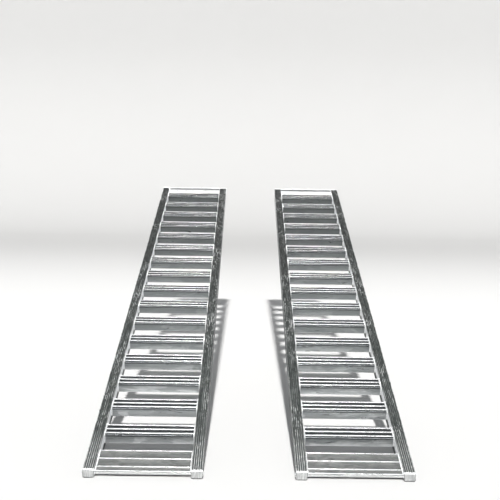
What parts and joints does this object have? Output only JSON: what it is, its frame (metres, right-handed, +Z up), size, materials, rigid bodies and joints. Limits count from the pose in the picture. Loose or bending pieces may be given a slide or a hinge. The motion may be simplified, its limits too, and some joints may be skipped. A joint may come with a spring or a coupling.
{
  "type": "folding loading ramp",
  "caption": "Bi-fold aluminium ladder ramps, set side by side, with ribbed cross rungs, grooved side rails, a wide toe tread, flat toe shoes and a lip that lies on the truck deck.",
  "frame": {"origin": "on the ground, midway between the two ramps and midway between the toes and the ends of the deck lips", "axes": "+Z up; +Y along the ground from the toes towards the deck; +X to the right, seen from the toes looking up the ramps"},
  "size_m": [1.25, 2.912, 1.0182],
  "materials": {
    "rail_aluminium": "weathered mill finish, dark, streaked along the extrusion",
    "rung_aluminium": "satin mill finish with ribs worn bright",
    "toe_tread_aluminium": "scuffed satin with ribs worn bright",
    "deck_lip_aluminium": "bright, lightly scratched",
    "toe_shoe_aluminium": "bright, scuffed at the edges",
    "hinge_leaf_steel": "zinc plated",
    "hinge_pin_steel": "zinc plated, worn bright at the heads"
  },
  "bodies": {
    "left_upper": {"left_outer_upper_rail": "rail_aluminium", "left_inner_upper_rail": "rail_aluminium", "left_deck_lip": "deck_lip_aluminium", "left_rung_01": "rung_aluminium", "left_rung_02": "rung_aluminium", "left_rung_03": "rung_aluminium", "left_rung_04": "rung_aluminium", "left_rung_05": "rung_aluminium", "left_rung_06": "rung_aluminium", "left_rung_07": "rung_aluminium", "left_rung_08": "rung_aluminium", "left_outer_hinge_upper_leaf": "hinge_leaf_steel", "left_inner_hinge_upper_leaf": "hinge_leaf_steel", "left_outer_hinge_pin": "hinge_pin_steel", "left_inner_hinge_pin": "hinge_pin_steel"},
    "left_lower": {"left_outer_lower_rail": "rail_aluminium", "left_inner_lower_rail": "rail_aluminium", "left_toe_tread": "toe_tread_aluminium", "left_rung_09": "rung_aluminium", "left_rung_10": "rung_aluminium", "left_rung_11": "rung_aluminium", "left_rung_12": "rung_aluminium", "left_rung_13": "rung_aluminium", "left_rung_14": "rung_aluminium", "left_rung_15": "rung_aluminium", "left_rung_16": "rung_aluminium", "left_outer_toe_shoe": "toe_shoe_aluminium", "left_inner_toe_shoe": "toe_shoe_aluminium", "left_outer_hinge_lower_leaf": "hinge_leaf_steel", "left_inner_hinge_lower_leaf": "hinge_leaf_steel"},
    "right_upper": {"right_outer_upper_rail": "rail_aluminium", "right_inner_upper_rail": "rail_aluminium", "right_deck_lip": "deck_lip_aluminium", "right_rung_01": "rung_aluminium", "right_rung_02": "rung_aluminium", "right_rung_03": "rung_aluminium", "right_rung_04": "rung_aluminium", "right_rung_05": "rung_aluminium", "right_rung_06": "rung_aluminium", "right_rung_07": "rung_aluminium", "right_rung_08": "rung_aluminium", "right_outer_hinge_upper_leaf": "hinge_leaf_steel", "right_inner_hinge_upper_leaf": "hinge_leaf_steel", "right_outer_hinge_pin": "hinge_pin_steel", "right_inner_hinge_pin": "hinge_pin_steel"},
    "right_lower": {"right_outer_lower_rail": "rail_aluminium", "right_inner_lower_rail": "rail_aluminium", "right_toe_tread": "toe_tread_aluminium", "right_rung_09": "rung_aluminium", "right_rung_10": "rung_aluminium", "right_rung_11": "rung_aluminium", "right_rung_12": "rung_aluminium", "right_rung_13": "rung_aluminium", "right_rung_14": "rung_aluminium", "right_rung_15": "rung_aluminium", "right_rung_16": "rung_aluminium", "right_outer_toe_shoe": "toe_shoe_aluminium", "right_inner_toe_shoe": "toe_shoe_aluminium", "right_outer_hinge_lower_leaf": "hinge_leaf_steel", "right_inner_hinge_lower_leaf": "hinge_leaf_steel"}
  },
  "joints": [
    {"name": "left_fold", "type": "hinge", "parent": "left_upper", "child": "left_lower", "pos_m": [-0.4, 0.01013, 0.45443], "axis": [1, 0, 0], "range_deg": [0, 180]},
    {"name": "right_spacing", "type": "slide", "parent": "left_upper", "child": "right_upper", "axis": [1, 0, 0], "range_m": [-0.25, 0.6]},
    {"name": "right_fold", "type": "hinge", "parent": "right_upper", "child": "right_lower", "pos_m": [0.4, 0.01013, 0.45443], "axis": [1, 0, 0], "range_deg": [0, 180]}
  ]
}
